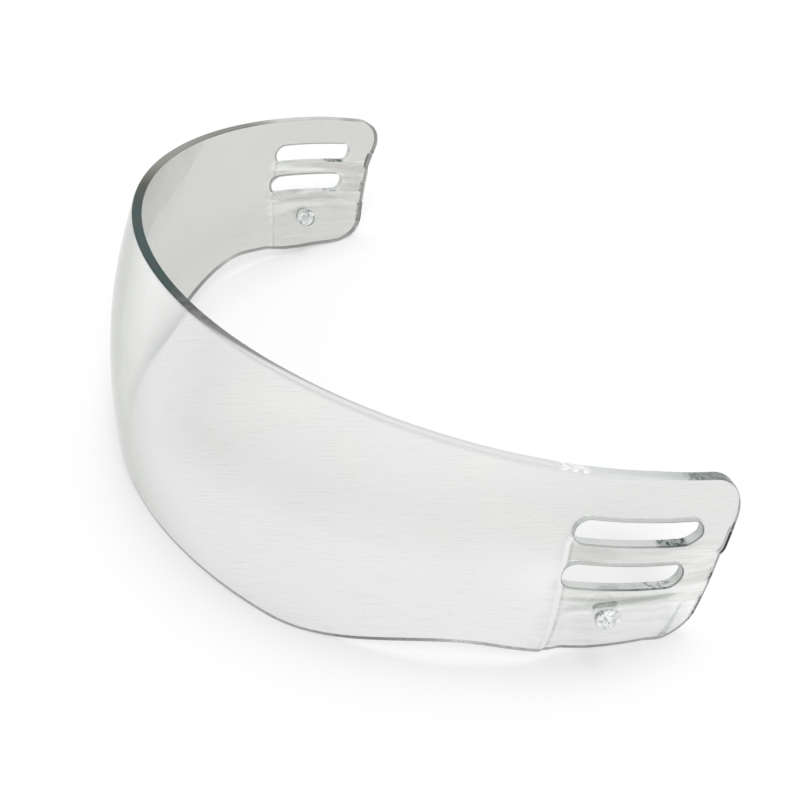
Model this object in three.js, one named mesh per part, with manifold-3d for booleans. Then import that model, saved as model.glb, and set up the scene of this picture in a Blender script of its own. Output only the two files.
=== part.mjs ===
// Half visor of an ice hockey helmet: a bent clear sheet with stepped, slotted ends and a stud in each end.
// Millimetres, +Z up. The front faces -Y, +X is the wearer's left, and it stands on its lower edge at z = 0.
import * as THREE from "three";
import { mergeVertices } from "three/addons/utils/BufferGeometryUtils.js";
import Module from "manifold-3d";

const { degToRad, lerp, smoothstep } = THREE.MathUtils;

// Sheet: lengths run along its outer face from the centre line, depths run down from its top edge
const wall = 2.4;
const browRadius = 101;
const browAngle = degToRad(64.8);
const templeRadius = 88;
const sheetReach = 159.9;
const browHeight = 62;
const endHeight = 46.5;

// Mounting slots, one above the other, set forward from the rear edge
const slotHeight = 6;
const slotPitch = 11;
const slotRearMargin = 8.6;
const upperSlotLength = 28.6;
const upperSlotDepth = 12.7;
const lowerSlotLength = 27.6;
const lowerSlotSetback = 0.2;
const upperSlotFront = sheetReach - slotRearMargin - upperSlotLength;
const lowerSlotFront = upperSlotFront + lowerSlotSetback;
const slotMiddle = upperSlotFront + upperSlotLength / 2;

// Middle terrace: the sheet steps in below the middle of the upper slot, behind a slanted front ramp
const middleStep = 0.8;
const terraceLead = 1.3;
const terraceSlant = 3;
const middleRampRun = 2;
const middleTop = 12.6;
const middleRampDrop = 3;
const middleRearRun = 8.9;
const middleRearDrop = 5;
const terraceFront = upperSlotFront - terraceLead;
const middleRearStart = sheetReach - middleRearRun;

// Lower terrace: a pocket below the lower slot, open at the lower edge and closed ahead of the rear edge
const lowerStep = 0.9;
const lowerRampRun = 3.6;
const lowerTop = 29.6;
const lowerTopSlant = 3.4;
const lowerRampDrop = 2.4;
const lowerRearRun = 5;
const lowerRearMargin = 5.4;
const lowerFront = terraceFront + middleRampRun;
const rampRear = lowerFront + lowerRampRun;
const lowerRearEnd = sheetReach - lowerRearMargin;
const lowerRearStart = lowerRearEnd - lowerRearRun;

// Lower edge: it rises in an easy S ahead of the terraces
const riseLead = 6.4;
const riseRun = 51;
const riseEnd = terraceFront - riseLead;
const riseStart = riseEnd - riseRun;

// Dome from top to bottom: an arc that leans out at the top edge, easing from the brow's to the ends'
const browDomeRadius = 140;
const browLeanAngle = degToRad(12.3);
const endDomeRadius = 91;
const endLeanAngle = degToRad(17.1);
const domeEaseStart = 85;
const domeEaseEnd = 134;

// Outline of each end: the top edge falls a little, a rounded corner, a shallow waist, and a lower corner
const topFall = 0.9;
const topFallRun = 21.9;
const upperCornerRadius = 9;
const waistDepth = 20;
const waistInset = 0.8;
const waistRadius = 14;
const lowerCornerRadius = 9;
const lowerCornerInset = 0.3;
const lowerRise = 2.2;
const lowerRiseRun = 23.9;

// Locating stud below the middle of the slots, seated in a hole in the lower terrace
const studDepth = 35.6;
const studRadius = 2.8;
const studShankRadius = 1.7;
const studHeadHeight = 0.9;
const studTipLength = 3;
const studEdgeRadius = 0.5;
const seatGap = 0.3;

// How far a cutting tool reaches past the face that it cuts
const overrun = 12;

// Cells of the sheet between its stops, and the steps of a round edge
const columnCells = [22, 3, 3, 4, 3, 2];
const rowCells = [3, 3, 1, 2, 3, 3];
const arcSteps = 6;
const roundSteps = 20;
const studArcSteps = 2;

// Shares of the wall: corners closer than this are one corner, and the step that finds a slope on the face
const weldShare = 0.0001;
const probeShare = 0.01;

// The plan curve of the outer face at the top edge: two arcs that share a tangent
function planAt(along) {
  const reach = Math.abs(along);
  const side = along < 0 ? -1 : 1;
  const past = Math.max(reach - browRadius * browAngle, 0);
  const heading = (reach - past) / browRadius + past / templeRadius;
  const radius = past > 0 ? templeRadius : browRadius;
  const centreShift = browRadius - radius;
  const x = centreShift * Math.sin(browAngle) + radius * Math.sin(heading);
  const y = browRadius - centreShift * Math.cos(browAngle) - radius * Math.cos(heading);
  return {
    point: new THREE.Vector3(side * x, y, 0),
    outward: new THREE.Vector3(side * Math.sin(heading), -Math.cos(heading), 0),
  };
}

// Depth of the lower edge, which rises in an easy S between the brow and the end
function lowerEdgeAt(reach) {
  return lerp(browHeight, endHeight, smoothstep(reach, riseStart, riseEnd));
}

// The terraces' ramps run back towards the lower edge, by this much at a depth
function slantAt(depth) {
  return terraceSlant * smoothstep(depth, middleTop, endHeight);
}

// Top of the middle terrace, which turns down to the waist in the rear edge
function middleTopAt(reach) {
  return middleTop + middleRearDrop * smoothstep(reach, middleRearStart, sheetReach);
}

// Top of the lower terrace, which climbs towards the rear
function lowerTopAt(reach) {
  return lowerTop + lowerTopSlant * (1 - smoothstep(reach, terraceFront, lowerRearStart));
}

// How far the end of the sheet steps in towards the head
function stepIn(reach, depth) {
  const behind = reach - slantAt(depth);
  const middleShare =
    smoothstep(behind, terraceFront, lowerFront) *
    smoothstep(depth - middleTopAt(reach), 0, middleRampDrop);
  const lowerShare =
    smoothstep(behind, lowerFront, rampRear) *
    smoothstep(depth - lowerTopAt(reach), 0, lowerRampDrop) *
    (1 - smoothstep(reach, lowerRearStart, lowerRearEnd));
  return middleStep * middleShare + lowerStep * lowerShare;
}

// How far the outer face stands out from the plan curve: the dome's arc, less the terraces
function standOut(reach, depth) {
  const endShare = smoothstep(reach, domeEaseStart, domeEaseEnd);
  const lean = lerp(browLeanAngle, endLeanAngle, endShare);
  const bend = lerp(1 / browDomeRadius, 1 / endDomeRadius, endShare);
  const slope = Math.sin(lean) - depth * bend;
  return (Math.sqrt(1 - slope * slope) - Math.cos(lean)) / bend - stepIn(reach, depth);
}

// A point of the sheet: `inset` is 0 on the outer face and the wall's thickness on the inner face
function sheetPoint(along, depth, inset) {
  const { point, outward } = planAt(along);
  point.addScaledVector(outward, standOut(Math.abs(along), depth) - inset);
  point.z = -depth;
  return point;
}

// Values that run through the stops, with a number of equal cells between each two
function stations(stops, cells) {
  const values = [stops[0]];
  cells.forEach((count, i) => {
    for (let k = 1; k <= count; k++) values.push(lerp(stops[i], stops[i + 1], k / count));
  });
  return values;
}

// Depths of the sheet's rows: evenly spaced at the brow, and following the terraces' ramps at the end
function rowDepths(reach) {
  const stops = [
    0,
    middleTopAt(reach),
    middleTopAt(reach) + middleRampDrop,
    upperSlotDepth + slotPitch - slotHeight / 2,
    lowerTopAt(reach),
    lowerTopAt(reach) + lowerRampDrop,
    endHeight,
  ];
  const ending = stations(stops, rowCells);
  const lowest = lowerEdgeAt(reach);
  const endShare = smoothstep(reach, riseStart, riseEnd);
  return ending.map((depth, i) => {
    const even = (lowest * i) / (ending.length - 1);
    return lerp(even, (depth * lowest) / endHeight, endShare);
  });
}

// The whole sheet before its ends are trimmed and cut: a box of cells wrapped onto the two faces
function sheetBlank() {
  const stops = [
    0,
    terraceFront,
    lowerFront,
    rampRear,
    lowerRearStart,
    lowerRearEnd,
    sheetReach,
  ];
  const half = stations(stops, columnCells);
  const columns = [...half.slice(1).reverse().map((reach) => -reach), ...half];
  const columnCount = columns.length - 1;
  const rowCount = rowCells.reduce((sum, count) => sum + count, 0);
  const box = new THREE.BoxGeometry(1, 1, 1, columnCount, 1, rowCount);
  const position = box.getAttribute("position");
  for (let i = 0; i < position.count; i++) {
    const along = columns[Math.round((position.getX(i) + 0.5) * columnCount)];
    const row = Math.round((0.5 - position.getZ(i)) * rowCount);
    const inset = position.getY(i) < 0 ? 0 : wall;
    const column = Math.abs(along);
    const sway = smoothstep(column, riseEnd, terraceFront) * (1 - smoothstep(column, rampRear, sheetReach));
    const reach = column + sway * slantAt(rowDepths(column)[row]);
    const point = sheetPoint(Math.sign(along) * reach, rowDepths(reach)[row], inset);
    position.setXYZ(i, point.x, point.y, point.z);
  }
  return box;
}

// A closed shape through corners [x, y, radius], with an arc that touches both sides of each round corner
function roundedShape(corners) {
  const shape = new THREE.Shape();
  corners.forEach(([x, y, radius = 0], i) => {
    const corner = new THREE.Vector2(x, y);
    const [beforeX, beforeY] = corners.at(i - 1);
    const [afterX, afterY] = corners[(i + 1) % corners.length];
    const toBefore = new THREE.Vector2(beforeX, beforeY).sub(corner).normalize();
    const toAfter = new THREE.Vector2(afterX, afterY).sub(corner).normalize();
    const halfAngle = Math.acos(toBefore.dot(toAfter)) / 2;
    const centre = toBefore.clone().add(toAfter).setLength(radius / Math.sin(halfAngle)).add(corner);
    const touch = radius / Math.tan(halfAngle);
    const start = corner.clone().addScaledVector(toBefore, touch);
    const end = corner.clone().addScaledVector(toAfter, touch);
    if (i === 0) shape.moveTo(start.x, start.y);
    else shape.lineTo(start.x, start.y);
    if (radius > 0) {
      const from = start.sub(centre).angle();
      const to = end.sub(centre).angle();
      shape.absarc(centre.x, centre.y, radius, from, to, toBefore.cross(toAfter) > 0);
    }
  });
  return shape;
}

// Outline of a slot with round ends, drawn back from the upper slot's middle and down from the top edge
function slotShape(front, length, depth) {
  const radius = slotHeight / 2;
  const first = front - slotMiddle + radius;
  const last = first + length - slotHeight;
  const shape = new THREE.Shape();
  shape.absarc(last, -depth, radius, -Math.PI / 2, Math.PI / 2, false);
  shape.absarc(first, -depth, radius, Math.PI / 2, (3 * Math.PI) / 2, false);
  return shape;
}

// What is trimmed off behind the end's outline, drawn in the same way. The upper corner's arc just touches the
// sheet's reach, and the rear edge leaves it at a slant, so the corner itself lies a little further out.
function trimShape() {
  const rear = sheetReach - slotMiddle;
  const below = -endHeight - overrun;
  const lowerFrom = rear - lowerRiseRun;
  const upperFrom = rear - topFallRun;
  const drop = waistDepth - topFall - upperCornerRadius;
  const run = upperCornerRadius - waistInset;
  const lean = Math.asin(upperCornerRadius / Math.hypot(run, drop)) - Math.atan2(run, drop);
  const cornerReach = upperCornerRadius * (Math.tan(Math.PI / 4 + lean / 2) - 1);
  return roundedShape([
    [upperFrom, 0],
    [rear + cornerReach, -topFall, upperCornerRadius],
    [rear - waistInset, -waistDepth, waistRadius],
    [rear - lowerCornerInset, lowerRise - endHeight, lowerCornerRadius],
    [lowerFrom, -endHeight],
    [lowerFrom, below],
    [rear + overrun, below],
    [rear + overrun, overrun],
    [upperFrom, overrun],
  ]);
}

// A tool that cuts a shape through the left end, square to the sheet's plan at the middle of the upper slot
function endTool(shape) {
  const { point, outward } = planAt(slotMiddle);
  const up = new THREE.Vector3(0, 0, 1);
  const back = up.clone().cross(outward);
  const tool = new THREE.ExtrudeGeometry(shape, {
    depth: wall + 2 * overrun,
    curveSegments: arcSteps,
    bevelEnabled: false,
  });
  tool.translate(0, 0, -wall - overrun);
  return tool.applyMatrix4(new THREE.Matrix4().makeBasis(back, up, outward).setPosition(point));
}

// The stud's seat on the outer face: Y along the stud, out of the sheet
function seatFrame(side) {
  const probe = wall * probeShare;
  const seat = sheetPoint(side * slotMiddle, studDepth, 0);
  const back = sheetPoint(side * (slotMiddle + probe), studDepth, 0).sub(seat);
  const down = sheetPoint(side * slotMiddle, studDepth + probe, 0).sub(seat);
  const out = down.cross(back).multiplyScalar(side).normalize();
  const across = back.normalize();
  const third = across.clone().cross(out);
  return new THREE.Matrix4().makeBasis(across, out, third).setPosition(seat);
}

// The hole that the stud's shank passes through
function studHole(side) {
  const radius = studShankRadius + seatGap;
  const hole = new THREE.CylinderGeometry(radius, radius, wall + 2 * overrun, roundSteps);
  return hole.applyMatrix4(seatFrame(side));
}

// The same geometry on the other side of the centre line
function mirrored(geometry) {
  const copy = geometry.index ? geometry.toNonIndexed() : geometry.clone();
  const position = copy.getAttribute("position");
  const corner = new THREE.Vector3();
  const turned = [];
  for (let i = 0; i < position.count; i += 3) {
    for (const k of [0, 2, 1]) {
      corner.fromBufferAttribute(position, i + k);
      turned.push(-corner.x, corner.y, corner.z);
    }
  }
  return new THREE.BufferGeometry().setAttribute("position", new THREE.Float32BufferAttribute(turned, 3));
}

// A closed geometry as a solid that can be joined and cut
function toSolid(geometry) {
  const bare = new THREE.BufferGeometry().setAttribute("position", geometry.getAttribute("position"));
  bare.setIndex(geometry.index);
  const merged = mergeVertices(bare, wall * weldShare);
  const vertProperties = merged.getAttribute("position").array;
  const triVerts = new Uint32Array(merged.index.array);
  return new wasm.Manifold(new wasm.Mesh({ numProp: 3, vertProperties, triVerts }));
}

function toGeometry(solid) {
  const { vertProperties, triVerts } = solid.getMesh();
  const geometry = new THREE.BufferGeometry();
  geometry.setAttribute("position", new THREE.BufferAttribute(vertProperties, 3));
  geometry.setIndex(new THREE.BufferAttribute(triVerts, 1));
  const faceted = geometry.toNonIndexed();
  faceted.computeVertexNormals();
  return faceted;
}

// The lens: the sheet with both ends trimmed, slotted and drilled
function lensGeometry() {
  const tools = [
    endTool(trimShape()),
    endTool(slotShape(upperSlotFront, upperSlotLength, upperSlotDepth)),
    endTool(slotShape(lowerSlotFront, lowerSlotLength, upperSlotDepth + slotPitch)),
  ];
  let solid = toSolid(sheetBlank());
  for (const tool of tools) solid = solid.subtract(toSolid(tool)).subtract(toSolid(mirrored(tool)));
  for (const side of [1, -1]) solid = solid.subtract(toSolid(studHole(side)));
  return toGeometry(solid);
}

// The stud as turned: a low head outside, a shank through the sheet, and a flat-ended tip towards the helmet
function studGeometry() {
  const edge = studEdgeRadius;
  const innerFace = -wall - seatGap;
  const end = innerFace - studTipLength;
  const profile = new THREE.Path();
  profile.moveTo(0, end);
  profile.lineTo(studRadius - edge, end);
  profile.absarc(studRadius - edge, end + edge, edge, -Math.PI / 2, 0, false);
  profile.lineTo(studRadius, innerFace);
  profile.lineTo(studShankRadius, innerFace);
  profile.lineTo(studShankRadius, seatGap);
  profile.lineTo(studRadius, seatGap);
  profile.lineTo(studRadius, seatGap + studHeadHeight - edge);
  profile.absarc(studRadius - edge, seatGap + studHeadHeight - edge, edge, 0, Math.PI / 2, false);
  profile.lineTo(0, seatGap + studHeadHeight);
  return new THREE.LatheGeometry(profile.getPoints(studArcSteps), roundSteps);
}

// Stands the visor on its lower edge: the side view's lowest line that spans its middle becomes level
function standingAngle(geometry) {
  const position = geometry.getAttribute("position");
  const side = [];
  for (let i = 0; i < position.count; i++) side.push(new THREE.Vector2(position.getY(i), position.getZ(i)));
  side.sort((a, b) => a.x - b.x || a.y - b.y);
  const hull = [];
  for (const next of side) {
    while (hull.length > 1) {
      const last = hull.at(-1).clone().sub(hull.at(-2));
      if (last.cross(next.clone().sub(hull.at(-1))) > 0) break;
      hull.pop();
    }
    hull.push(next);
  }
  const middle = (side[0].x + side.at(-1).x) / 2;
  const rear = hull.findIndex((corner) => corner.x > middle);
  return hull[rear].clone().sub(hull[rear - 1]).angle();
}

const wasm = await Module();
wasm.setup();

const clearSheet = { color: 0xe6ecea, roughness: 0.08, metalness: 0, transparent: true, opacity: 0.4 };
const lens = new THREE.Mesh(lensGeometry(), new THREE.MeshStandardMaterial(clearSheet));
lens.name = "lens";

const visor = new THREE.Group();
visor.add(lens);
for (const [name, side] of [
  ["stud_left", 1],
  ["stud_right", -1],
]) {
  const clearStud = { color: 0xdfe8e6, roughness: 0.12, metalness: 0, transparent: true, opacity: 0.5 };
  const stud = new THREE.Mesh(studGeometry(), new THREE.MeshStandardMaterial(clearStud));
  stud.name = name;
  stud.applyMatrix4(seatFrame(side));
  visor.add(stud);
}

visor.rotation.x = -standingAngle(lens.geometry);
const box = new THREE.Box3().setFromObject(visor, true);
const centre = box.getCenter(new THREE.Vector3());
visor.position.set(-centre.x, -centre.y, -box.min.z);

const group = new THREE.Group();
group.add(visor);

export default group;
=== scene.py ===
import math

import bpy
import numpy as np
from mathutils import Matrix, Vector
from mathutils.geometry import delaunay_2d_cdt


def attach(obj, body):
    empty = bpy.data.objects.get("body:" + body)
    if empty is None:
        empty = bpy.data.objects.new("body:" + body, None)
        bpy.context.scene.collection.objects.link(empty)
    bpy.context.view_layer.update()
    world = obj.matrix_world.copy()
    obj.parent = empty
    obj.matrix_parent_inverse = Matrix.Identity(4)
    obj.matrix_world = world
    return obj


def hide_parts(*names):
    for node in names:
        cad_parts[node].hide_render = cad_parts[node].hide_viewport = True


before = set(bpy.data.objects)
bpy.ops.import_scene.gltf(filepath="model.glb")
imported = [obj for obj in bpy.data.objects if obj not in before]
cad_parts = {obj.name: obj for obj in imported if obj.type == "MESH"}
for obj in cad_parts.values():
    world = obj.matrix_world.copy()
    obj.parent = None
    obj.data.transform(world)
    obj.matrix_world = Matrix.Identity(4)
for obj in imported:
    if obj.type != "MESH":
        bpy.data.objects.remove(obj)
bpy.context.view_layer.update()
scene = bpy.context.scene
MM = 0.001

# Camera: the visor is seen from above the wearer's left end, with its front to the left of the picture.
# The place, the direction and the focal length come from fitting the visor's outline to the photograph.
camera_place = Vector((229.663, -72.752, 190.268)) * MM
camera_ahead = Vector((-0.738189, 0.303167, -0.602633))
camera_roll = math.radians(-1.057)
camera_data = bpy.data.cameras.new("camera")
camera_data.sensor_width = 36
camera_data.lens = 49.56
camera_data.clip_start = 0.01
camera = bpy.data.objects.new("camera", camera_data)
scene.collection.objects.link(camera)
aim = camera_ahead.to_track_quat("-Z", "Y").to_matrix().to_4x4()
camera.matrix_world = Matrix.Translation(camera_place) @ aim @ Matrix.Rotation(camera_roll, 4, "Z")
scene.camera = camera


# The sheet's flat pattern: a long blank of clear polycarbonate, 2.4 mm thick, that narrows towards both ends.
# It is drawn as it lies in the visor: lengths run along the outer face from the centre line, depths run down
# from the top edge. Each end has two screw slots, a shallow waist in the rear edge and a hole for the stud.
wall = 2.4 * MM
half_length = 159.9 * MM
brow_depth = 62 * MM
end_depth = 46.5 * MM
rise_start = 64 * MM
rise_end = 115 * MM
slot_height = 6 * MM
slot_middle = 137 * MM
slots = [(122.7 * MM, 28.6 * MM, 12.7 * MM), (122.9 * MM, 27.6 * MM, 23.7 * MM)]
top_fall = 0.9 * MM
corner_radius = 9 * MM
corner_run = 21.9 * MM
waist_depth = 20 * MM
waist_inset = 0.8 * MM
waist_radius = 14 * MM
foot_radius = 9 * MM
foot_run = 23.9 * MM
foot_inset = 0.3 * MM
foot_rise = 2.2 * MM
stud_depth = 35.6 * MM
stud_hole_radius = 2.0 * MM
edge_round = 0.3 * MM
edge_step = 0.7 * MM
hole_sides = 28


def ease(value, start, end):
    share = np.clip((value - start) / (end - start), 0, 1)
    return share * share * (3 - 2 * share)


def lower_edge(reach):
    return brow_depth + (end_depth - brow_depth) * ease(reach, rise_start, rise_end)


def arc(centre, radius, start, end, step):
    count = max(int(abs(end - start) * radius / step), 3)
    turns = np.linspace(start, end, count + 1)
    return np.column_stack((centre[0] + radius * np.cos(turns), centre[1] + radius * np.sin(turns)))


def rounded_line(corners):
    """The open line through corners (x, y, radius), with an arc at each corner that has a radius."""
    parts = [np.array([corners[0][:2]])]
    for before, corner, after in zip(corners, corners[1:], corners[2:]):
        middle = np.array(corner[:2])
        to_before = np.array(before[:2]) - middle
        to_after = np.array(after[:2]) - middle
        to_before /= np.linalg.norm(to_before)
        to_after /= np.linalg.norm(to_after)
        half_angle = math.acos(np.clip(to_before @ to_after, -1, 1)) / 2
        bisector = to_before + to_after
        centre = middle + bisector / np.linalg.norm(bisector) * corner[2] / math.sin(half_angle)
        touch = corner[2] / math.tan(half_angle)
        start, end = middle + to_before * touch - centre, middle + to_after * touch - centre
        first = math.atan2(start[1], start[0])
        turn = (math.atan2(end[1], end[0]) - first + math.pi) % (2 * math.pi) - math.pi
        parts.append(arc(centre, corner[2], first, first + turn, edge_step / 2))
    parts.append(np.array([corners[-1][:2]]))
    return np.vstack(parts)


def evened(line, step):
    """The closed line again, with equal steps."""
    closed = np.vstack((line, line[:1]))
    lengths = np.r_[0, np.cumsum(np.linalg.norm(np.diff(closed, axis=0), axis=1))]
    places = np.linspace(0, lengths[-1], int(lengths[-1] / step), endpoint=False)
    return np.column_stack([np.interp(places, lengths, closed[:, axis]) for axis in (0, 1)])


def outline():
    """The blank's outline, which runs clockwise seen from outside."""
    rear = half_length
    rise = np.linspace(rear - foot_run, 0, 140)
    # The rear edge leaves the upper corner at a slant, so the corner of its lines lies a little further out
    drop, run = waist_depth - top_fall - corner_radius, corner_radius - waist_inset
    lean = math.asin(corner_radius / math.hypot(run, drop)) - math.atan2(run, drop)
    corner_reach = corner_radius * (math.tan(math.pi / 4 + lean / 2) - 1)
    tail = rounded_line([
        (rear - corner_run, 0, 0),
        (rear + corner_reach, -top_fall, corner_radius),
        (rear - waist_inset, -waist_depth, waist_radius),
        (rear - foot_inset, foot_rise - end_depth, foot_radius),
        (rise[0], -end_depth, 0),
    ])
    half = np.vstack((np.array([[0, 0]]), tail, np.column_stack((rise[1:], -lower_edge(rise[1:])))))
    other = half[1:-1][::-1] * [-1, 1]
    return evened(np.vstack((half, other)), edge_step)


def slot_outline(side, front, length, depth):
    radius = slot_height / 2
    rear_arc = arc((front + length - radius, -depth), radius, -math.pi / 2, math.pi / 2, edge_step)
    front_arc = arc((front + radius, -depth), radius, math.pi / 2, 3 * math.pi / 2, edge_step)
    loop = evened(np.vstack((rear_arc, front_arc)) * [side, 1], edge_step)
    return loop if side > 0 else loop[::-1]


def hole_outline(side):
    turns = np.linspace(0, 2 * math.pi, hole_sides, endpoint=False)
    lengths = side * slot_middle + stud_hole_radius * np.cos(turns)
    return np.column_stack((lengths, stud_hole_radius * np.sin(turns) - stud_depth))


loops = [outline()]
for side in (1, -1):
    loops += [slot_outline(side, *slot) for slot in slots]
    loops.append(hole_outline(side))


def inside(points, loop):
    """Whether each point lies inside the loop, by counting crossings."""
    following = np.roll(loop, -1, axis=0)
    result = np.zeros(len(points), bool)
    for (x0, y0), (x1, y1) in zip(loop, following):
        crosses = (points[:, 1] < y0) != (points[:, 1] < y1)
        with np.errstate(divide="ignore", invalid="ignore"):
            at = x0 + (points[:, 1] - y0) / (y1 - y0) * (x1 - x0)
        result ^= crosses & (points[:, 0] < at)
    return result


def inward(loop):
    """Unit vectors that point from the cut edge into the sheet."""
    along = np.roll(loop, -1, axis=0) - np.roll(loop, 1, axis=0)
    along /= np.linalg.norm(along, axis=1)[:, None]
    return np.column_stack((along[:, 1], -along[:, 0]))


def away_from(points, loop, gap):
    """Whether each point is further than the gap from every point of the loop."""
    keep = np.ones(len(points), bool)
    for x, y in loop:
        near = (points[:, 0] - x) ** 2 + (points[:, 1] - y) ** 2 < gap * gap
        keep &= ~near
    return keep


# Across a cut edge: a narrow flat margin, a small round, the flat of the cut, and the same again
margin = 0.12 * MM
rounding = np.linspace(0, math.pi / 2, 4)
half_edge = [(0, edge_round + margin)]
half_edge += [(edge_round * (1 - math.cos(turn)), edge_round * (1 - math.sin(turn))) for turn in rounding]
half_edge.append((edge_round + margin, 0))
across = half_edge + [(wall - depth, inset) for depth, inset in half_edge[::-1]]

face_loops = [loop + inward(loop) * (edge_round + margin) for loop in loops]
# From, to and step of the faces' inner points along the sheet, in millimetres
fill_runs = ((-108, 108, 2.4), (108.6, 159.6, 0.55), (-159.6, -108.6, 0.55))
fill_top = 0.9
fill_gap = 0.5 * MM


def sheet_points():
    """Points that fill the sheet: wide steps at the front, narrow steps in the stepped ends."""
    rows = []
    for start, end, step in fill_runs:
        x, y = np.meshgrid(np.arange(start, end, step) * MM, np.arange(fill_top, 62, step) * -MM)
        x = x + (np.arange(x.shape[0]) % 2 * 0.5 * step * MM)[:, None]
        rows.append(np.column_stack((x.ravel(), y.ravel())))
    points = np.vstack(rows)
    points = points[inside(points, face_loops[0])]
    for loop in face_loops[1:]:
        points = points[~inside(points, loop)]
    for loop in face_loops:
        points = points[away_from(points, loop, fill_gap)]
    return points


def flat_blank():
    """The flat blank as a closed mesh. Its vertices are (length, inset from the outer face, -depth).
    Two lists say of each face whether it is part of a cut edge, and of that edge's outer rim."""
    fill = sheet_points()
    flat = np.vstack(face_loops + [fill])
    edges, start = [], 0
    for loop in face_loops:
        edges += [(start + i, start + (i + 1) % len(loop)) for i in range(len(loop))]
        start += len(loop)
    scaled = [Vector(point) for point in (flat / MM).tolist()]
    vertices, _, faces, *_ = delaunay_2d_cdt(scaled, edges, [], 0, 1e-6)
    assert len(vertices) == len(flat)
    faces = np.array([face for face in faces if len(face) == 3])
    centres = flat[faces].mean(axis=1)
    keep = inside(centres, face_loops[0])
    for loop in face_loops[1:]:
        keep &= ~inside(centres, loop)
    faces = faces[keep]
    a, b, c = flat[faces[:, 0]], flat[faces[:, 1]], flat[faces[:, 2]]
    turned = (b[:, 0] - a[:, 0]) * (c[:, 1] - a[:, 1]) < (b[:, 1] - a[:, 1]) * (c[:, 0] - a[:, 0])
    faces[turned] = faces[turned][:, ::-1]
    count = len(flat)
    places = [np.column_stack((flat[:, 0], np.full(count, depth), flat[:, 1])) for depth in (0, wall)]
    polygons = faces.tolist() + (faces[:, ::-1] + count).tolist()
    cut, rim = [0] * len(polygons), [0] * len(polygons)
    offset, start = 2 * count, 0
    for loop in loops:
        size = len(loop)
        rings = [np.arange(size) + start]
        for depth, inset in across[1:-1]:
            moved = loop + inward(loop) * inset
            places.append(np.column_stack((moved[:, 0], np.full(size, depth), moved[:, 1])))
            rings.append(np.arange(size) + offset)
            offset += size
        rings.append(np.arange(size) + start + count)
        # The first and the last ring of faces are the flat margins, and rings 1 to 3 are the outer round
        for ring, (first, second) in enumerate(zip(rings, rings[1:])):
            for i in range(size):
                j = (i + 1) % size
                polygons.append((int(first[i]), int(first[j]), int(second[j]), int(second[i])))
                cut.append(0 if ring in (0, len(rings) - 2) else 1)
                rim.append(1 if ring in (1, 2, 3) else 0)
        start += size
    return np.vstack(places), polygons, cut, rim


places, polygons, cut, rim = flat_blank()
mesh = bpy.data.meshes.new("clear_sheet")
mesh.from_pydata(places.tolist(), [], polygons)
pattern = mesh.uv_layers.new(name="pattern")
corner_vertices = np.zeros(len(mesh.loops), np.int32)
mesh.loops.foreach_get("vertex_index", corner_vertices)
pattern.data.foreach_set("uv", places[corner_vertices][:, [0, 2]].ravel())
for name, domain, values in (
    ("cut_edge", "FACE", cut),
    ("rim", "FACE", rim),
    ("inner_share", "POINT", places[:, 1] / wall),
):
    attribute = mesh.attributes.new(name, "FLOAT", domain)
    attribute.data.foreach_set("value", np.array(values, np.float32))
mesh.update()
sheet = bpy.data.objects.new("clear_sheet", mesh)
scene.collection.objects.link(sheet)


# Bending: the heated blank is drawn over a form, so that it takes the brow's arc and the tighter arcs of the
# temples in plan, a dome from top to bottom, and the stepped terraces that seat its ends on the helmet.
# The rule is a Geometry Nodes tree, with a named input for each size of the form.
form_sizes = {
    "Brow radius": 101 * MM,
    "Brow arc": 101 * MM * math.radians(64.8),
    "Temple radius": 88 * MM,
    "Brow dome radius": 140 * MM,
    "Brow lean": math.radians(12.3),
    "End dome radius": 91 * MM,
    "End lean": math.radians(17.1),
    "Dome ease start": 85 * MM,
    "Dome ease end": 134 * MM,
    "Slot middle": slot_middle,
    "Square cut start": 105 * MM,
    "Square cut end": 120 * MM,
    "End depth": end_depth,
    "Middle step": 0.8 * MM,
    "Terrace front": 121.4 * MM,
    "Terrace slant": 3 * MM,
    "Middle ramp run": 2 * MM,
    "Middle top": 12.6 * MM,
    "Middle ramp drop": 3 * MM,
    "Middle rear run": 8.9 * MM,
    "Middle rear drop": 5 * MM,
    "Lower step": 0.9 * MM,
    "Lower ramp run": 3.6 * MM,
    "Lower top": 29 * MM,
    "Lower top slant": 3.4 * MM,
    "Lower ramp drop": 3.4 * MM,
    "Lower rear start": 149.5 * MM,
    "Lower rear end": 154.5 * MM,
    "Half length": half_length,
    "Standing angle": math.radians(13.29762),
    "Set back": -42.17305 * MM,
    "Set up": 65.60235 * MM,
}


class Link:
    """A node's output, with the arithmetic that the trees here need."""

    def __init__(self, nodes, socket):
        self.nodes, self.socket = nodes, socket

    def maths(self, operation, *values):
        return self.nodes.add("ShaderNodeMath", {"operation": operation}, *values)

    def __add__(self, other):
        return self.maths("ADD", self, other)

    def __sub__(self, other):
        return self.maths("SUBTRACT", self, other)

    def __rsub__(self, other):
        return self.maths("SUBTRACT", other, self)

    def __mul__(self, other):
        return self.maths("MULTIPLY", self, other)

    def __truediv__(self, other):
        return self.maths("DIVIDE", self, other)

    def __rtruediv__(self, other):
        return self.maths("DIVIDE", other, self)

    def __neg__(self):
        return self.maths("MULTIPLY", self, -1.0)

    __radd__ = __add__
    __rmul__ = __mul__

    def call(self, operation, *values):
        return self.maths(operation, self, *values)

    def part(self, name):
        return Link(self.nodes, self.socket.node.outputs[name])


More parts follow.
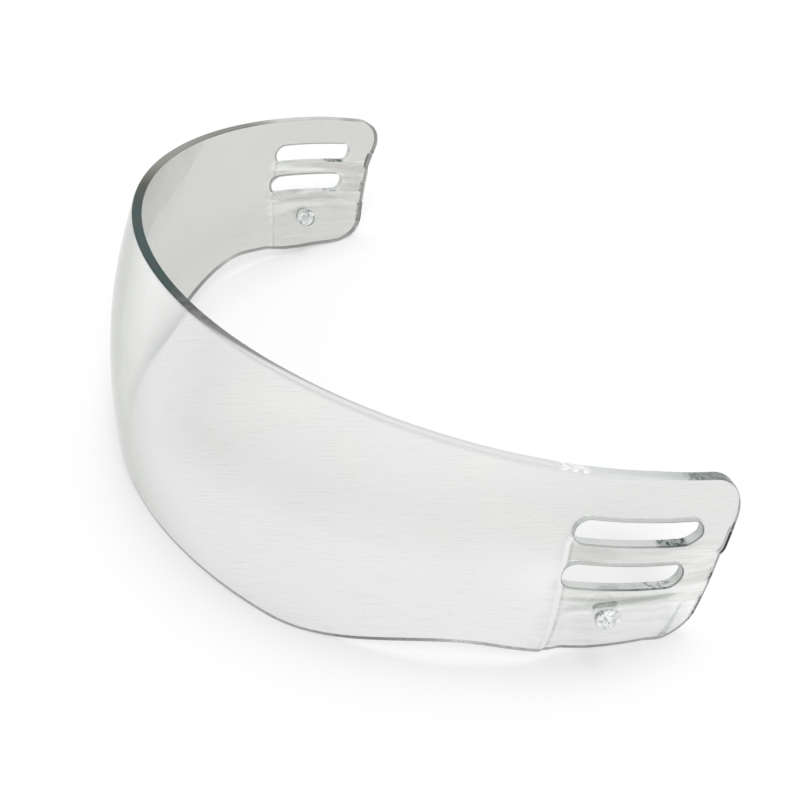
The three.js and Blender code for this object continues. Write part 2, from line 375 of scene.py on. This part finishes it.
class Nodes:
    """Makes the nodes of one tree."""

    def __init__(self, tree):
        self.tree = tree

    def add(self, kind, settings, *values, **named):
        node = self.tree.nodes.new(kind)
        for name, value in settings.items():
            if name == "stops":
                elements = node.color_ramp.elements
                while len(elements) < len(value):
                    elements.new(1)
                for element, (place, colour) in zip(elements, value):
                    element.position, element.color = place, colour
            else:
                setattr(node, name, value)
        for key, value in [*enumerate(values), *named.items()]:
            socket = node.inputs[key if isinstance(key, int) else key.replace("_", " ")]
            if isinstance(value, Link):
                self.tree.links.new(value.socket, socket)
            elif value is not None:
                socket.default_value = value
        shown = [output for output in node.outputs if output.enabled]
        return Link(self, shown[0]) if shown else None

    def ease(self, value, start, end):
        kind = {"interpolation_type": "SMOOTHSTEP"}
        return self.add("ShaderNodeMapRange", kind, value, start, end, 0.0, 1.0)

    def fade(self, value, start, end):
        return 1 - self.ease(value, start, end)

    def band(self, value, start, full, last, end):
        """1 from full to last, with a soft start and end."""
        return self.ease(value, start, full) * self.fade(value, last, end)

    def within(self, value):
        return value.call("MINIMUM", 1.0).call("MAXIMUM", 0.0)

    def mix(self, share, first, second):
        return first + (second - first) * share

    def blend(self, share, first, second):
        node = self.tree.nodes.new("ShaderNodeMix")
        node.data_type = "RGBA"
        for place, value in ((0, share), (6, first), (7, second)):
            if isinstance(value, Link):
                self.tree.links.new(value.socket, node.inputs[place])
            else:
                node.inputs[place].default_value = value
        return Link(self, node.outputs[2])

    def noise(self, place, scale, detail, **named):
        return self.add("ShaderNodeTexNoise", {}, place, Scale=scale, Detail=detail, **named)

    def attribute(self, name):
        return self.add("ShaderNodeAttribute", {"attribute_name": name}).part("Fac")


def bending_tree():
    """The tree that bends the flat blank, with an input for each size of the form and for the material."""
    tree = bpy.data.node_groups.new("bend_sheet", "GeometryNodeTree")
    tree.interface.new_socket("Geometry", in_out="INPUT", socket_type="NodeSocketGeometry")
    tree.interface.new_socket("Geometry", in_out="OUTPUT", socket_type="NodeSocketGeometry")
    for name in form_sizes:
        tree.interface.new_socket(name, in_out="INPUT", socket_type="NodeSocketFloat")
    tree.interface.new_socket("Material", in_out="INPUT", socket_type="NodeSocketMaterial")
    nodes = Nodes(tree)
    given = nodes.add("NodeGroupInput", {})
    size = {name: given.part(name) for name in form_sizes}

    def heading_at(reach):
        """How far the sheet has turned within the brow's arc, and in all."""
        on_brow = reach.call("MINIMUM", size["Brow arc"])
        past = reach - on_brow
        brow_turn = on_brow / size["Brow radius"]
        return brow_turn, brow_turn + past / size["Temple radius"]

    def step_in(reach, depth):
        """How far the terraces lie inside the plain dome."""
        lower_front = size["Terrace front"] + size["Middle ramp run"]
        behind = reach - size["Terrace slant"] * nodes.ease(depth, size["Middle top"], size["End depth"])
        rear_turn = nodes.ease(reach, size["Half length"] - size["Middle rear run"], size["Half length"])
        middle_top = size["Middle top"] + size["Middle rear drop"] * rear_turn
        middle = nodes.ease(behind, size["Terrace front"], lower_front)
        middle = middle * nodes.ease(depth, middle_top, middle_top + size["Middle ramp drop"])
        climb = nodes.fade(reach, size["Terrace front"], size["Lower rear start"])
        lower_top = size["Lower top"] + size["Lower top slant"] * climb
        lower = nodes.ease(behind, lower_front, lower_front + size["Lower ramp run"])
        lower = lower * nodes.ease(depth, lower_top, lower_top + size["Lower ramp drop"])
        lower = lower * nodes.fade(reach, size["Lower rear start"], size["Lower rear end"])
        return size["Middle step"] * middle + size["Lower step"] * lower

    def stand_out(reach, depth):
        """How far the outer face stands out from the line of its top edge."""
        share = nodes.ease(reach, size["Dome ease start"], size["Dome ease end"])
        lean = nodes.mix(share, size["Brow lean"], size["End lean"])
        bend = nodes.mix(share, 1 / size["Brow dome radius"], 1 / size["End dome radius"])
        slope = lean.call("SINE") - depth * bend
        rise = (1 - slope * slope).call("SQRT") - lean.call("COSINE")
        return rise / bend - step_in(reach, depth)

    place = nodes.add("GeometryNodeInputPosition", {})
    split = nodes.add("ShaderNodeSeparateXYZ", {}, place)
    along, inset, depth = split.part("X"), split.part("Y"), -split.part("Z")
    side = along.call("SIGN")
    drawn = along.call("ABSOLUTE")

    # The slots and the outline are cut square through the bent end, so the inner face is drawn back a little
    across_end = drawn - size["Slot middle"]
    outer_radius = size["Temple radius"] + stand_out(drawn, depth) - inset
    bent = size["Slot middle"] + size["Temple radius"] * (across_end / outer_radius).call("ARCSINE")
    reach = nodes.mix(nodes.ease(drawn, size["Square cut start"], size["Square cut end"]), drawn, bent)

    brow_turn, heading = heading_at(reach)
    out = stand_out(reach, depth) - inset
    temple_shift = size["Brow radius"] - size["Temple radius"]
    x = temple_shift * brow_turn.call("SINE") + (size["Temple radius"] + out) * heading.call("SINE")
    y = size["Brow radius"] - temple_shift * brow_turn.call("COSINE")
    y = y - (size["Temple radius"] + out) * heading.call("COSINE")
    tilt_sine, tilt_cosine = size["Standing angle"].call("SINE"), size["Standing angle"].call("COSINE")
    level_y = y * tilt_cosine - depth * tilt_sine + size["Set back"]
    level_z = size["Set up"] - y * tilt_sine - depth * tilt_cosine
    moved = nodes.add("ShaderNodeCombineXYZ", {}, side * x, level_y, level_z)
    bent_sheet = nodes.add("GeometryNodeSetPosition", {}, given, None, moved)
    plain = nodes.add("GeometryNodeRealizeInstances", {}, bent_sheet)
    finished = nodes.add("GeometryNodeSetMaterial", {}, plain, None, given.part("Material"))
    nodes.add("NodeGroupOutput", {}, finished)
    return tree


def bend(piece, material):
    """Gives the flat piece its bent shape and its material, as a plain mesh."""
    modifier = piece.modifiers.new("bend", "NODES")
    modifier.node_group = bending_tree()
    for item in modifier.node_group.interface.items_tree:
        if item.in_out == "INPUT" and item.name in form_sizes:
            modifier[item.identifier] = form_sizes[item.name]
        elif item.in_out == "INPUT" and item.name == "Material":
            modifier[item.identifier] = material
    bpy.context.view_layer.update()
    bent = bpy.data.meshes.new_from_object(piece.evaluated_get(bpy.context.evaluated_depsgraph_get()))
    bent.name = piece.name
    piece.modifiers.remove(modifier)
    piece.data = bent
    bent.shade_smooth()


# The sheet's material: clear polycarbonate, pale from outside and greyer and greener through its inner face,
# which is painted shade.
# Its outer face carries short, patchy wiping marks. The cut edges were only rubbed down, so they are frosted,
# and the dark teal at the front of the top edge is painted shade for light that is trapped behind it.
refraction = 1.58
dark_tone = (0.02, 0.022, 0.022, 1)


def with_filter(nodes, material, shader, passed):
    """Light that goes on to another surface passes the clear plastic straight, as through a tinted filter.
    So does light that was thrown back inside the plastic, and most of what a nearer wall lets through."""
    seen_past = 0.9
    behind_tint = (0.985, 0.987, 0.982, 1)
    thrown_back_tint = (0.7, 0.735, 0.715, 1)
    paths = nodes.add("ShaderNodeLightPath", {})
    second_wall = seen_past * nodes.within(paths.part("Transmission Depth") - 1)
    behind = nodes.add("ShaderNodeBsdfTransparent", {}, behind_tint)
    shader = nodes.add("ShaderNodeMixShader", {}, second_wall, shader, behind)
    inside_plastic = nodes.add("ShaderNodeNewGeometry", {}).part("Backfacing")
    thrown_back = nodes.within(paths.part("Glossy Depth")) * inside_plastic
    leaving = nodes.add("ShaderNodeBsdfTransparent", {}, thrown_back_tint)
    shader = nodes.add("ShaderNodeMixShader", {}, thrown_back, shader, leaving)
    onward = nodes.within(paths.part("Is Shadow Ray") + paths.part("Is Diffuse Ray"))
    passing = nodes.add("ShaderNodeBsdfTransparent", {}, passed)
    shader = nodes.add("ShaderNodeMixShader", {}, onward, shader, passing)
    nodes.add("ShaderNodeOutputMaterial", {}, shader)
    return material


def new_material(name):
    material = bpy.data.materials.new(name)
    material.use_nodes = True
    material.node_tree.nodes.clear()
    return material, Nodes(material.node_tree)


class SheetPlace:
    """Where a point lies on the sheet, in millimetres, and the patterns that several finishes share."""

    def __init__(self, nodes):
        self.pattern = nodes.add("ShaderNodeUVMap", {"uv_map": "pattern"})
        flat = nodes.add("ShaderNodeSeparateXYZ", {}, self.pattern)
        self.length = flat.part("X").call("ABSOLUTE") / MM
        self.depth = -flat.part("Y") / MM
        self.point = nodes.add("ShaderNodeTexCoord", {}).part("Object")
        standing = nodes.add("ShaderNodeSeparateXYZ", {}, self.point)
        self.side = standing.part("X") / MM
        self.back = standing.part("Y") / MM
        self.height = standing.part("Z") / MM
        self.cut_edge = nodes.attribute("cut_edge")
        self.rim = nodes.attribute("rim")
        self.inner_share = nodes.attribute("inner_share")
        self.facing = nodes.add("ShaderNodeLayerWeight", {}, 0.5).part("Facing")
        # 1 where light is already on its way out of the plastic
        self.leaving = nodes.within(nodes.add("ShaderNodeLightPath", {}).part("Transmission Depth"))

        # Length as measured from the terraces' slanted front
        slant = form_sizes["Terrace slant"] / MM
        slanted = nodes.ease(self.depth, form_sizes["Middle top"] / MM, end_depth / MM)
        self.behind = self.length - slant * slanted

        # How low the point stands, then the patterns: clouds and their patches, mottling, specks and streaks
        self.low = nodes.fade(self.height, 28, 44)
        self.clouds = nodes.noise(self.pattern, 38.0, 1.0)
        self.patches = nodes.ease(self.clouds, 0.42, 0.72)
        self.mottle = nodes.noise(self.pattern, 55.0, 2.0)
        self.specks = nodes.ease(nodes.noise(self.point, 1100.0, 1.0), 0.47, 0.6)
        smeared = nodes.add("ShaderNodeMapping", {}, self.pattern, Scale=(60, 420, 1))
        self.streaks = nodes.ease(nodes.noise(smeared, 1.0, 2.0), 0.4, 0.65)


def wiping_marks(nodes, at):
    """Short hairlines from a cloth on the outer face: mirrored, patchy, and weaker at the brow."""
    outwards = at.side.call("ABSOLUTE")
    along_side = 0.38 * outwards + 0.925 * at.back
    across_side = 0.229 * at.back + 0.798 * at.height - 0.56 * outwards
    # The pattern is drawn out along the side of the sheet, and packed close across it
    wiped = nodes.add("ShaderNodeCombineXYZ", {}, 0.14 * along_side, 2.4 * across_side, 0.04 * at.length)
    marks = nodes.ease(nodes.noise(wiped, 1.0, 3.0, Roughness=0.6), 0.52, 0.7)
    marks = marks * nodes.fade(at.facing, 0.45, 0.7) * (1 - at.inner_share)
    marks = marks * (0.4 + 0.6 * nodes.ease(at.length, 24, 66))
    return marks * (0.35 + 0.9 * nodes.ease(at.mottle, 0.4, 0.6))


def body_colour(nodes, at, marks):
    """What the sheet lets through in all, with painted light and shade in it, laid on the face that the eye
    meets first.
    """
    length, depth, inner_share, streaks = at.length, at.depth, at.inner_share, at.streaks
    # Painted shade and light: darker near the top edge and at the ends, lighter low down and at the brow,
    # where the table behind lies in shadow
    brow = nodes.fade(length, 22, 42) * nodes.ease(at.facing, 0.2, 0.45)
    upper = nodes.within(0.8 - 0.8 * nodes.ease(depth, 3, 24) + 0.4 * nodes.ease(length, 85, 115))
    outer_body = nodes.blend(upper, (0.829, 0.831, 0.826, 1), (0.793, 0.795, 0.788, 1))
    outer_body = nodes.blend(nodes.ease(at.mottle, 0.5, 0.7), outer_body, (0.822, 0.824, 0.803, 1))
    outer_body = nodes.blend(1 - (1 - at.low) * (1 - brow), outer_body, (0.955, 0.957, 0.952, 1))
    # Painted shade: the inner face is greyer and greener, and darker where it stands higher
    standing_high = nodes.ease(at.height, 4, 20)
    inner_body = nodes.blend(standing_high, (0.752, 0.757, 0.723, 1), (0.632, 0.637, 0.605, 1))
    body = nodes.blend(inner_share, outer_body, inner_body)
    body = nodes.blend(nodes.ease(at.facing, 0.58, 0.95), body, (0.56, 0.565, 0.535, 1))

    # The plain strip of each end, above its terraces, is painted darker: painted shade
    end_strip = nodes.ease(length, 100, 150) * nodes.fade(depth, 12, 26)
    strip_body = nodes.blend(inner_share, (0.735, 0.735, 0.728, 1), (0.617, 0.622, 0.589, 1))
    body = nodes.blend(end_strip, body, strip_body)

    # The terraces are darkened in streaks, and the wiping marks run over everything
    formed = nodes.ease(length, 119, 125) * nodes.ease(depth, 13, 18)
    formed = formed * (1 - 0.7 * nodes.ease(depth, 26, 36))
    streaked = formed * (0.12 + 0.04 * inner_share + 0.36 * streaks)
    body = nodes.blend(streaked, body, (0.38, 0.385, 0.335, 1))
    body = nodes.blend(0.1 * marks, body, (0.55, 0.56, 0.54, 1))

    # The ramp in front of the terraces has a pale line, a painted highlight, and a darker foot, painted shade
    below = nodes.ease(depth, 13, 16)
    ramp_line = nodes.band(at.behind, 121.2, 121.6, 122.4, 122.8) * below
    ramp_foot = nodes.band(at.behind, 122.5, 122.9, 123.1, 123.7) * below
    body = nodes.blend(ramp_line * (0.4 + 0.3 * streaks - 0.4 * inner_share), body, (1, 1, 0.995, 1))
    body = nodes.blend(ramp_foot * (0.3 + 0.3 * streaks - 0.1 * inner_share), body, (0.45, 0.46, 0.43, 1))

    # Painted shade darkens the crease below the lower slot, and painted highlights lie as pale gleams between
    # the streaks
    crease = nodes.band(depth, 28.2, 29, 29.6, 31)
    crease = crease * nodes.ease(at.behind, 123, 126) * nodes.fade(length, 147, 151)
    body = nodes.blend(crease * (0.15 + 0.35 * streaks), body, (0.4, 0.42, 0.38, 1))
    drawn_out = nodes.add("ShaderNodeMapping", {}, at.pattern, Scale=(45, 300, 1), Location=(3, 7, 0))
    gleams = nodes.ease(nodes.noise(drawn_out, 1.0, 1.0), 0.52, 0.66)
    body = nodes.blend(formed * gleams * (0.16 + 0.4 * inner_share), body, (0.97, 0.975, 0.96, 1))

    # The outer face is a little darker just below the top edge: painted shade along the edge
    lip = nodes.fade(depth, 0.5, 1.1) * (1 - inner_share)
    body = nodes.blend(0.7 * lip, body, (0.72, 0.725, 0.715, 1))
    body = nodes.add("ShaderNodeGamma", {}, body, 2.0)
    return nodes.blend(at.leaving, body, (1, 1, 1, 1))


def top_edge_tone(nodes, at):
    """The top edge's painted light and shade: dark teal and mottled at the brow, paler along the sides,
    darker again near the ends.
    """
    along = at.length / 160
    left_tone = nodes.add("ShaderNodeValToRGB", {"stops": [
        (0.11, (0.015, 0.045, 0.045, 1)), (0.15, (0.1, 0.115, 0.11, 1)), (0.2, (0.195, 0.195, 0.192, 1)),
        (0.26, (0.235, 0.235, 0.232, 1)), (0.32, (0.27, 0.27, 0.265, 1)), (0.37, (0.33, 0.33, 0.325, 1)),
        (0.43, (0.48, 0.48, 0.475, 1)), (0.5, (0.62, 0.62, 0.615, 1)), (0.69, (0.74, 0.74, 0.735, 1)),
        (0.76, (0.72, 0.745, 0.74, 1)), (0.86, (0.61, 0.65, 0.635, 1)), (0.9, (0.5, 0.54, 0.525, 1)),
        (0.915, (0.27, 0.3, 0.29, 1)), (0.965, (0.27, 0.29, 0.28, 1)), (0.985, (0.6, 0.62, 0.61, 1)),
    ]}, along)
    right_tone = nodes.add("ShaderNodeValToRGB", {"stops": [
        (0.18, (0.015, 0.045, 0.045, 1)), (0.25, (0.06, 0.06, 0.04, 1)), (0.3, (0.155, 0.155, 0.13, 1)),
        (0.35, (0.245, 0.245, 0.215, 1)), (0.45, (0.275, 0.275, 0.25, 1)), (0.6, (0.215, 0.21, 0.195, 1)),
        (0.66, (0.215, 0.21, 0.195, 1)), (0.71, (0.33, 0.33, 0.31, 1)), (0.75, (0.61, 0.62, 0.6, 1)),
        (0.89, (0.57, 0.58, 0.56, 1)), (0.92, (0.35, 0.35, 0.33, 1)), (0.97, (0.55, 0.56, 0.53, 1)),
    ]}, along)
    # Dark mottling along the top edge at the brow
    brow_mottle = nodes.ease(nodes.noise(at.point, 420.0, 3.0), 0.45, 0.62)
    brow_mottle = brow_mottle * nodes.fade(at.length, 28, 44) * 0.6
    brow_mottle_tone = (0.045, 0.042, 0.034, 1)
    left_tone = nodes.blend(brow_mottle, left_tone, brow_mottle_tone)
    right_tone = nodes.blend(brow_mottle, right_tone, brow_mottle_tone)

    # Along the left side the outer part of the edge is painted lit, as if it catches the light, and its rim
    # is painted a little darker
    lit_side = nodes.band(at.length, 20, 66, 106, 140)
    unlit = nodes.ease(at.inner_share, -0.5 + 0.9 * lit_side, 0.96 * lit_side)
    lit_tone = nodes.blend(at.rim, (0.8, 0.8, 0.795, 1), (0.66, 0.66, 0.655, 1))
    left_tone = nodes.blend(unlit, lit_tone, left_tone)
    # Painted glints: white spots on the top edge
    glints = (1 - at.specks) * nodes.band(at.length, 116.5, 118, 122, 124)
    left_tone = nodes.blend(0.7 * glints, left_tone, (1, 1, 1, 1))
    end_specks = at.specks * nodes.band(at.length, 143, 146, 154, 157)
    left_tone = nodes.blend(0.6 * end_specks, left_tone, (0.07, 0.085, 0.08, 1))
    return nodes.blend(nodes.ease(-at.side, 0, 8), left_tone, right_tone)


def cut_edges(nodes, at):
    """The tone of the cut edges, and how much of them is frosted."""
    length, depth, specks = at.length, at.depth, at.specks

    # The slots have pale walls, a dark mottled patch of painted shade at the rear of the upper floor, and
    # small dark specks in the lower
    slot_tone = nodes.blend(at.patches, (0.98, 1, 0.99, 1), (0.85, 0.9, 0.88, 1))
    slot_dark_specks = specks * nodes.ease(nodes.noise(at.pattern, 120.0, 0.0), 0.5, 0.58) * nodes.ease(depth, 22, 25)
    slot_tone = nodes.blend(0.8 * slot_dark_specks, slot_tone, (0.2, 0.21, 0.23, 1))
    trapped = nodes.band(length, 141, 143, 148.5, 150) * nodes.band(depth, 14, 15, 16, 17)
    trapped = trapped * (0.65 + 0.35 * specks)
    slot_tone = nodes.blend(trapped, slot_tone, (0.02, 0.05, 0.045, 1))

    # The lower edge, whose tone varies along its length as painted light and shade
    lower_tone = nodes.add("ShaderNodeValToRGB", {"stops": [
        (0.42, (0.37, 0.38, 0.375, 1)), (0.47, (0.41, 0.42, 0.415, 1)), (0.53, (0.2, 0.21, 0.205, 1)),
        (0.58, (0.18, 0.19, 0.185, 1)), (0.64, (0.42, 0.43, 0.42, 1)), (0.675, (0.85, 0.86, 0.85, 1)),
        (0.71, (0.5, 0.51, 0.5, 1)), (0.77, (0.57, 0.58, 0.57, 1)), (0.82, (0.3, 0.31, 0.3, 1)),
        (0.88, (0.26, 0.27, 0.265, 1)), (0.95, (0.5, 0.51, 0.5, 1)),
    ]}, length / 160)
    lower_tone = nodes.blend(0.3 * specks, lower_tone, (0.05, 0.055, 0.05, 1))
    tone = nodes.blend(nodes.ease(depth, 34, 42), slot_tone, lower_tone)
    past_top = nodes.ease(depth, 3, 7)
    tone = nodes.blend(past_top, top_edge_tone(nodes, at), tone)

    # Short dark dashes on the rear edges, and a thin dark rim of painted shade round the slots and the ends
    dashes = nodes.ease(nodes.noise(at.pattern, 130.0, 1.0), 0.46, 0.52) * nodes.ease(length, 154, 157)
    dashes = dashes * (0.3 + 0.7 * nodes.ease(depth, 11, 13)) * (1 - 0.6 * nodes.ease(depth, 38, 42))
    tone = nodes.blend(dashes, tone, dark_tone)
    rim_line = at.rim * nodes.ease(length, 108, 116) * past_top * (0.65 + 0.3 * at.patches)
    tone = nodes.blend(rim_line, tone, (0.06, 0.06, 0.065, 1))

    in_slot = nodes.band(depth, 8.5, 9.5, 27, 28) * nodes.band(length, 110, 116, 151, 152)
    frosting = 0.96 - 0.55 * in_slot * (1 - trapped) * (1 - rim_line) * (1 - slot_dark_specks)
    return tone, frosting


def rear_runs(nodes, at):
    """Dark runs of painted shade beside the rear edge, which both faces show. They follow the edge's waist.
    """
    waist = waist_depth / MM
    slanted = nodes.add("ShaderNodeMapRange", {}, at.depth, 9.9, waist, 0.0, waist_inset / MM)
    returned = nodes.add("ShaderNodeMapRange", {}, at.depth, waist, 44.3, 0.0, 0.5)
    strip = nodes.ease(at.length + slanted - returned, 158.7, 159.0) * (1 - at.cut_edge)
    upper_run = nodes.band(at.depth, 12.5, 13.5, 18.5, 19.5)
    lower_runs = nodes.band(at.depth, 23, 24, 27, 28) + nodes.band(at.depth, 30, 32, 42, 44)
    runs = nodes.within(upper_run + lower_runs * (0.45 + 0.5 * at.specks))
    return strip * runs * (1 - 0.4 * at.inner_share)


def polycarbonate():
    material, nodes = new_material("clear_polycarbonate")
    at = SheetPlace(nodes)
    marks = wiping_marks(nodes, at)
    saw_marks = nodes.noise(at.point, 650.0, 2.0)
    rough_cut = nodes.add("ShaderNodeBump", {}, 0.5 * at.cut_edge, 0.0002, Height=saw_marks)
    body = body_colour(nodes, at, marks)
    clear_part = nodes.add(
        "ShaderNodeBsdfPrincipled", {}, Base_Color=body, Roughness=0.02 + 0.03 * at.clouds, Normal=rough_cut,
        IOR=refraction, Transmission_Weight=1.0,
    )

    # The faces are a little hazy: more at the front, in the marks, from inside and where the eye grazes them
    front = nodes.fade(at.length, 30, 95)
    grazing = nodes.ease(at.facing, 0.55, 0.85) * (1 - at.low)
    haze = 0.03 + front * (0.03 + 0.045 * at.patches) + 0.1 * marks
    haze = haze + 0.16 * at.inner_share * (1 - at.leaving) + 0.16 * grazing
    # Painted shade beside the rear edge, laid on as dark haze
    rear_dark = rear_runs(nodes, at)
    haze = haze + rear_dark * (1 - haze)
    edge_tone, frosting = cut_edges(nodes, at)
    haze_tone = nodes.blend(at.cut_edge, (0.78, 0.785, 0.77, 1), edge_tone)
    haze_tone = nodes.blend(rear_dark, haze_tone, dark_tone)
    frosted_part = nodes.add(
        "ShaderNodeBsdfPrincipled", {}, Base_Color=haze_tone, Roughness=0.4, IOR=refraction,
        Specular_IOR_Level=0.1,
    )
    frosted_share = nodes.mix(at.cut_edge, haze, frosting)
    shader = nodes.add("ShaderNodeMixShader", {}, frosted_share, clear_part, frosted_part)
    return with_filter(nodes, material, shader, (0.75, 0.755, 0.753, 1))


clear = polycarbonate()
bend(sheet, clear)
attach(sheet, "root")
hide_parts("lens")


# The studs: a small clear turned stud is seated in the stepped part of each end, below the slots.
# Its low head shows outside, and its wide tip stands inside and locates the end on the helmet's shell.
stud_radius = 2.8 * MM
stud_shank = 1.7 * MM
stud_head = 0.9 * MM
stud_tip = 3 * MM
stud_round = 0.5 * MM
stud_sides = 48
sharp_edge = math.radians(50)
seat_gap = 0.3 * MM


def stud_profile():
    """Radius and height from the outer face, from the tip's centre to the head's centre."""
    inner = -wall - seat_gap
    tip = inner - stud_tip
    head = seat_gap + stud_head
    turns = np.linspace(0, math.pi / 2, 6)
    flat_radius = stud_radius - stud_round
    low = [(flat_radius + stud_round * math.sin(a), tip + stud_round * (1 - math.cos(a))) for a in turns]
    top = [(flat_radius + stud_round * math.cos(a), head - stud_round * (1 - math.sin(a))) for a in turns]
    line = [(0, tip)] + low + [(stud_radius, inner), (stud_shank, inner), (stud_shank, seat_gap)]
    return line + [(stud_radius, seat_gap)] + top + [(0, head)]


def turned_frame(node):
    """The turning axis of a CAD stud and the middle of its length."""
    corners = np.array([vertex.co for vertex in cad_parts[node].data.vertices])
    corners = np.unique(np.round(corners, 7), axis=0)
    middle = corners.mean(axis=0)
    # A turned solid spreads alike in two directions, and its axis is the third
    widths, axes = np.linalg.eigh(np.cov((corners - middle).T))
    odd = 0 if widths[1] - widths[0] > widths[2] - widths[1] else 2
    axis = axes[:, odd]
    if axis[0] * middle[0] < 0:
        axis = -axis
    reach = (corners - middle) @ axis
    return Vector(middle + axis * (reach.max() + reach.min()) / 2), Vector(axis)


def stud_plastic():
    """Moulded clear plastic, with a fine frosting from the mould on the head and small dark specks."""
    material, nodes = new_material("moulded_stud")
    point = nodes.add("ShaderNodeTexCoord", {}).part("Object")
    outwards = nodes.add("ShaderNodeSeparateXYZ", {}, point).part("X").call("ABSOLUTE")
    head = nodes.ease(outwards, 99 * MM, 99.8 * MM)
    frosting = nodes.ease(nodes.noise(point, 700.0, 2.0), 0.42, 0.6)
    tone = nodes.blend(frosting, (0.88, 0.9, 0.9, 1), (0.98, 0.99, 0.99, 1))
    stud_dark_specks = nodes.ease(nodes.noise(point, 1300.0, 1.0), 0.56, 0.62)
    tone = nodes.blend(0.65 * stud_dark_specks, tone, (0.2, 0.21, 0.24, 1))
    clear_part = nodes.add(
        "ShaderNodeBsdfPrincipled", {}, Base_Color=tone, Roughness=0.05 + 0.1 * frosting, IOR=refraction,
        Transmission_Weight=1.0,
    )
    frosted_part = nodes.add("ShaderNodeBsdfPrincipled", {}, Base_Color=tone, Roughness=0.3, IOR=refraction)
    shader = nodes.add("ShaderNodeMixShader", {}, head * (0.4 + 0.5 * frosting), clear_part, frosted_part)
    return with_filter(nodes, material, shader, (0.8, 0.8, 0.8, 1))


moulded = stud_plastic()


def stud(node, name):
    """Turns the profile round the axis of the CAD stud that the piece stands for."""
    profile = stud_profile()
    centre, axis = turned_frame(node)
    half = (profile[-1][1] + profile[0][1]) / 2
    turn = axis.to_track_quat("Z", "Y").to_matrix()
    points, faces = [], []
    for radius, height in profile[1:-1]:
        for k in range(stud_sides):
            angle = 2 * math.pi * k / stud_sides
            points.append((radius * math.cos(angle), radius * math.sin(angle), height - half))
    points += [(0, 0, profile[0][1] - half), (0, 0, profile[-1][1] - half)]
    rings = len(profile) - 2
    for ring in range(rings - 1):
        lower, upper = ring * stud_sides, (ring + 1) * stud_sides
        for k in range(stud_sides):
            j = (k + 1) % stud_sides
            faces.append((lower + k, lower + j, upper + j, upper + k))
    last = (rings - 1) * stud_sides
    for k in range(stud_sides):
        j = (k + 1) % stud_sides
        faces.append((len(points) - 2, j, k))
        faces.append((len(points) - 1, last + k, last + j))
    mesh = bpy.data.meshes.new(name)
    mesh.from_pydata([tuple(centre + turn @ Vector(point)) for point in points], [], faces)
    mesh.materials.append(moulded)
    mesh.shade_smooth()
    mesh.set_sharp_from_angle(angle=sharp_edge)
    piece = bpy.data.objects.new(name, mesh)
    scene.collection.objects.link(piece)
    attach(piece, "root")
    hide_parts(node)


stud("stud_left", "clear_stud_left")
stud("stud_right", "clear_stud_right")


# The stage: a plain white table, which shows pure white to the camera and keeps the visor's soft shadow.
# The light is an even sky, a wide window at the wearer's left and a wide lamp high up behind the right.
def seen_plainly(nodes):
    """1 for what is seen, also in gloss and through the sheet, and 0 for what only lights a surface."""
    paths = nodes.add("ShaderNodeLightPath", {})
    seen = paths.part("Is Camera Ray") + paths.part("Is Glossy Ray") + paths.part("Is Transmission Ray")
    return seen.call("MINIMUM", 1.0)


table_reach = 3.0
corners = [(-table_reach, -table_reach, 0), (table_reach, -table_reach, 0)]
corners += [(table_reach, table_reach, 0), (-table_reach, table_reach, 0)]
mesh = bpy.data.meshes.new("table")
mesh.from_pydata(corners, [], [(0, 1, 2, 3)])
table = bpy.data.objects.new("table", mesh)
scene.collection.objects.link(table)
material, nodes = new_material("white_table")
top = nodes.add("ShaderNodeBsdfDiffuse", {}, (0.9, 0.9, 0.9, 1))
through = nodes.add("ShaderNodeLightPath", {}).part("Is Transmission Ray")
lift = 0.12 * seen_plainly(nodes) + 0.07 * through
glow = nodes.add("ShaderNodeEmission", {}, (1, 1, 1, 1), lift)
nodes.add("ShaderNodeOutputMaterial", {}, nodes.add("ShaderNodeAddShader", {}, top, glow))
mesh.materials.append(material)

sky_light = 0.25
sky_seen = 1.0
world = bpy.data.worlds.new("sky")
scene.world = world
world.use_nodes = True
world.node_tree.nodes.clear()
nodes = Nodes(world.node_tree)
strength = nodes.mix(seen_plainly(nodes), sky_light, sky_seen)
nodes.add("ShaderNodeOutputWorld", {}, nodes.add("ShaderNodeBackground", {}, (1, 1, 1, 1), strength))


def soft_lamp(name, towards, strength, width):
    """A soft source far away, whose light goes towards the given direction. Its width is in degrees."""
    data = bpy.data.lights.new(name, "SUN")
    data.energy = strength
    data.angle = math.radians(width)
    lamp = bpy.data.objects.new(name, data)
    scene.collection.objects.link(lamp)
    lamp.rotation_euler = Vector(towards).to_track_quat("-Z", "Y").to_euler()


soft_lamp("window", towards=(-0.636, 0.093, -0.766), strength=1.85, width=26)
soft_lamp("ceiling", towards=(0.093, -0.223, -0.970), strength=0.97, width=24)

scene.view_settings.view_transform = "Standard"
